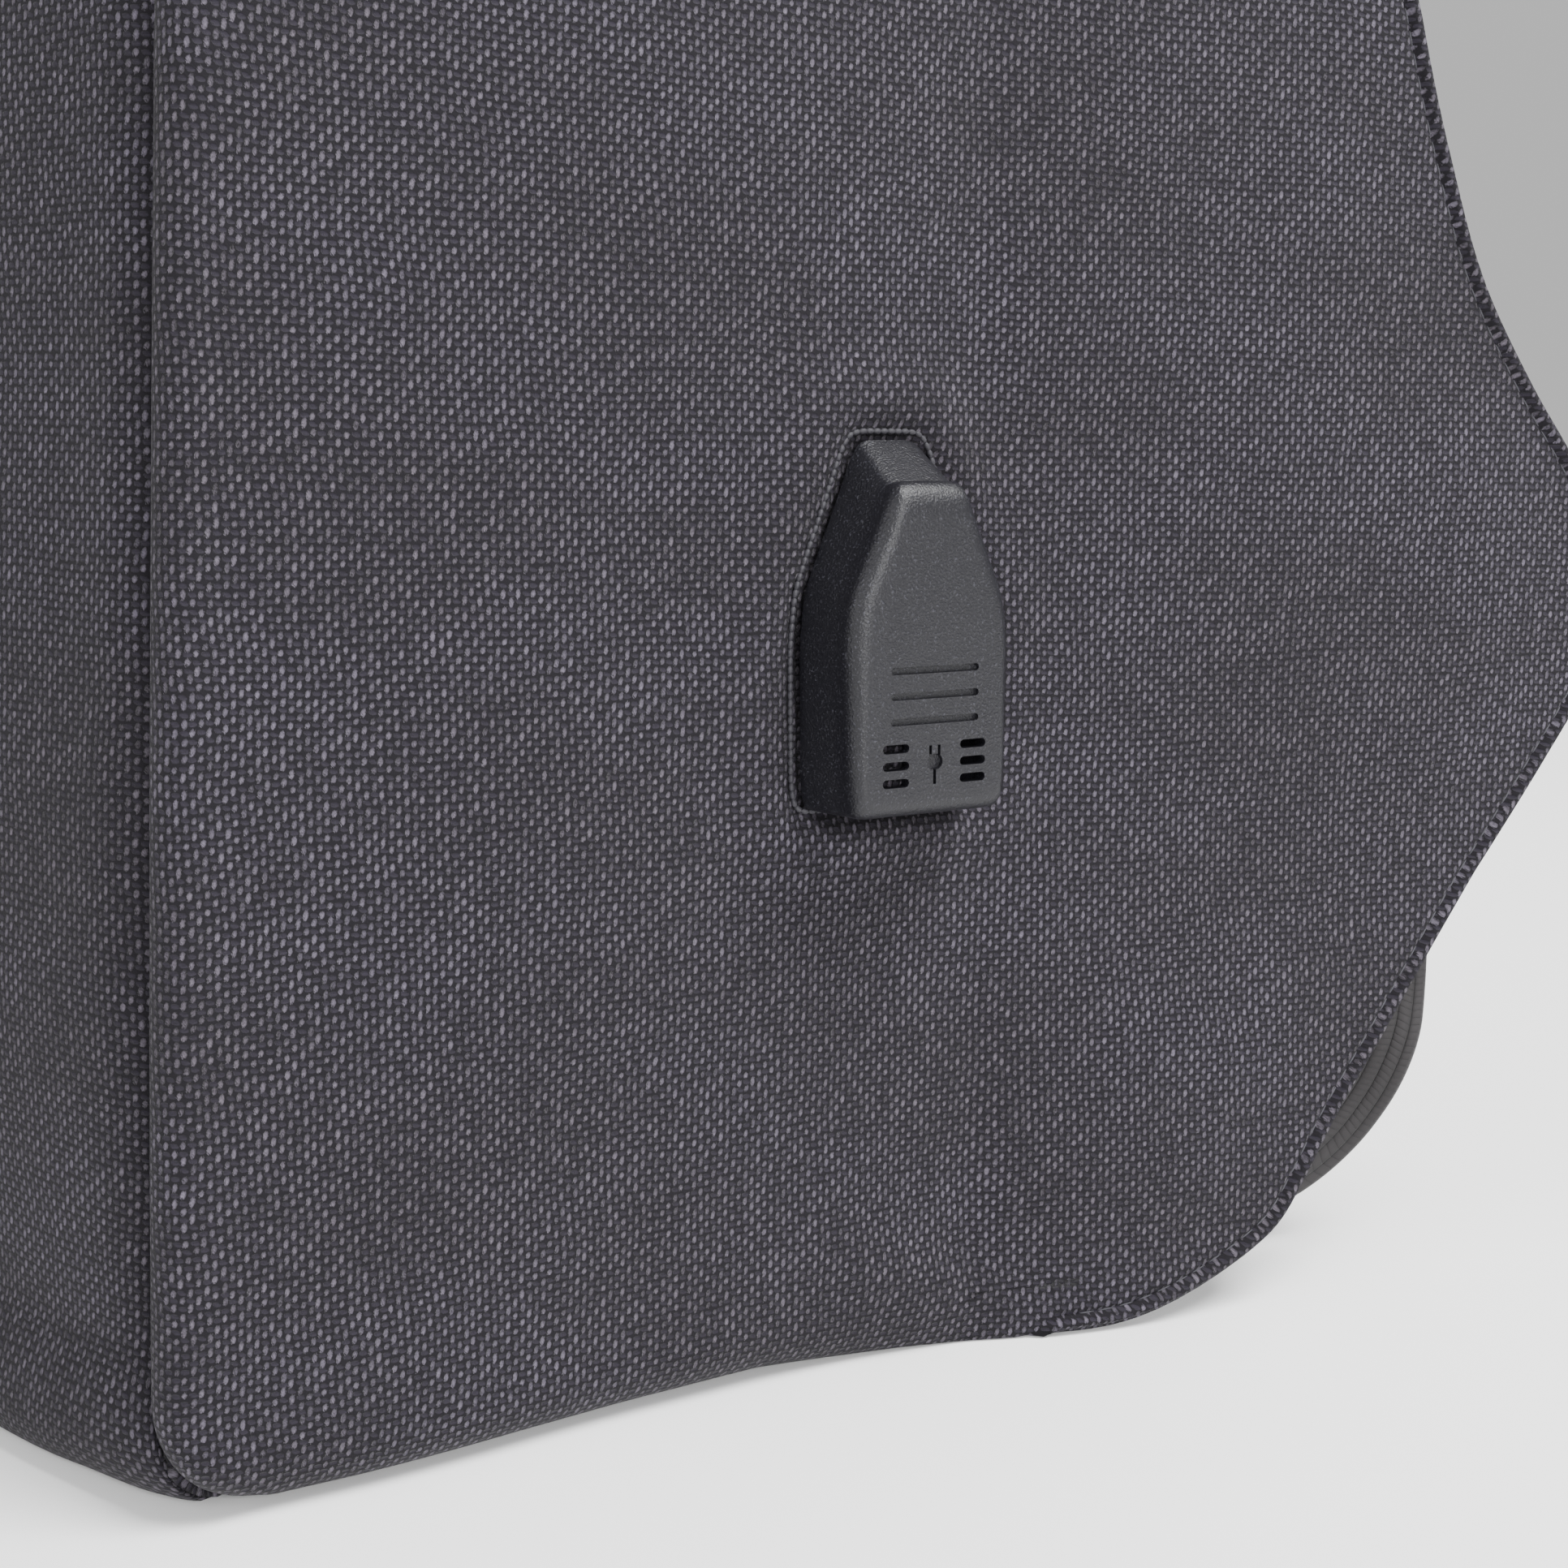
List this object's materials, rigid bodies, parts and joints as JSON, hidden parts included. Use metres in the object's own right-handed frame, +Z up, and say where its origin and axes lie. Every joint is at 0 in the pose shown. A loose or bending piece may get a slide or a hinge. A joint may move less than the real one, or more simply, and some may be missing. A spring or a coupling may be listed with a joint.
{
  "type": "anti theft backpack",
  "caption": "Cloth backpack with hidden rear zip behind free side flaps, padded back and straps, grab handle and a hooded charging port on the right side.",
  "frame": {"origin": "centre of the base's underside, on the ground plane", "axes": "+Z up towards the grab handle, -Y the bag's front, +Y the side worn against the back, +X the side with the charging port"},
  "size_m": [0.3334, 0.2132, 0.4906],
  "materials": {
    "body_cloth": "plain-woven melange polyester, matte",
    "back_cloth": "dark spacer mesh, matte",
    "strap_cloth": "padded woven cloth, matte",
    "webbing": "ribbed polyester webbing",
    "zip_tape": "woven zip tape with coil teeth",
    "hood_plastic": "fine spark-textured satin plastic",
    "buckle_plastic": "satin moulded plastic",
    "socket_metal": "bright formed sheet",
    "slider_metal": "dark satin metal"
  },
  "bodies": {
    "root": {"side_panel_right": "body_cloth", "side_panel_left": "body_cloth", "front_panel": "body_cloth", "base_panel": "back_cloth", "back_panel": "back_cloth", "zip_tape": "zip_tape", "shoulder_strap_right": "strap_cloth", "shoulder_strap_left": "strap_cloth", "ladder_lock_right": "buckle_plastic", "ladder_lock_left": "buckle_plastic", "strap_webbing_right": "webbing", "strap_webbing_left": "webbing", "grab_handle": "strap_cloth", "usb_hood": "hood_plastic", "usb_socket_shell": "socket_metal", "usb_socket_tongue": "buckle_plastic", "zip_slider_right": "slider_metal", "zip_slider_left": "slider_metal"}
  },
  "joints": []
}
